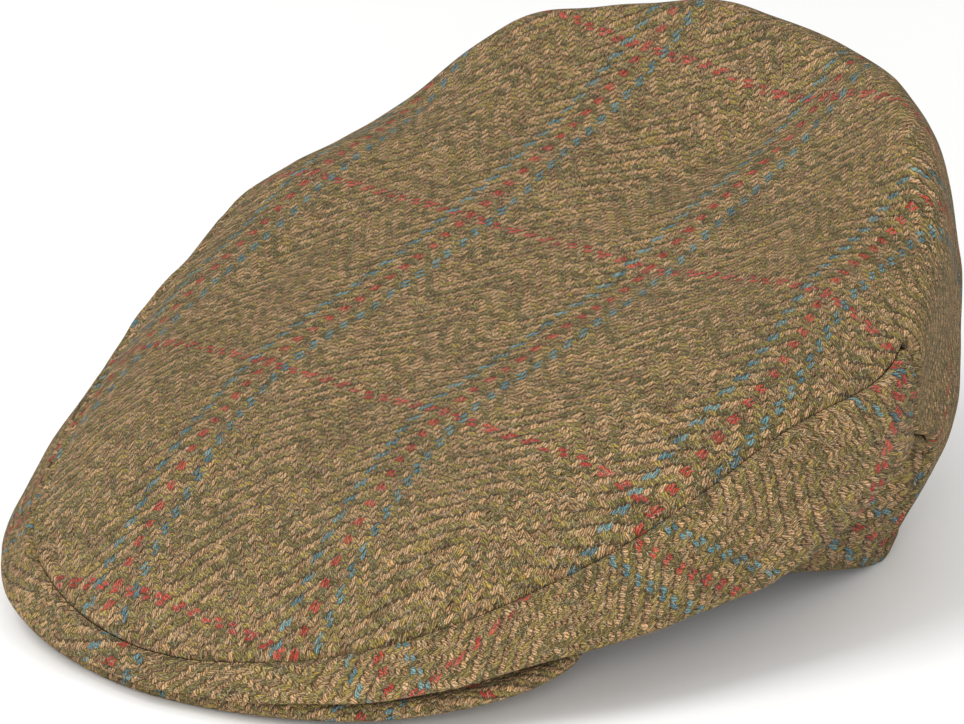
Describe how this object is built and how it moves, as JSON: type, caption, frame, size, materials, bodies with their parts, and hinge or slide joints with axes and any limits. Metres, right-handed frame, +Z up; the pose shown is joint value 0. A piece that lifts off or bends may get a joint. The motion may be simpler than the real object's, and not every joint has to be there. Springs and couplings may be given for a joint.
{
  "type": "flat cap",
  "caption": "Flat cap of woven wool with a broad top that slopes to the front, a side panel rolled under all round, and a stiff peak.",
  "frame": {"origin": "middle of the cap's footprint on the surface it lies on", "axes": "+Z up, -Y towards the peak, +Y towards the back of the head, +X towards the wearer's left; the length of the cap runs along Y"},
  "size_m": [0.2454, 0.283, 0.1313],
  "materials": {
    "tweed_top": "matte wool, herringbone weave with a red and blue windowpane check",
    "tweed_side": "matte wool, herringbone weave with a red and blue windowpane check",
    "tweed_peak": "matte wool, herringbone weave, stretched over a stiff board"
  },
  "bodies": {
    "root": {"top_panel": "tweed_top", "side_panel": "tweed_side", "peak": "tweed_peak"}
  },
  "joints": []
}
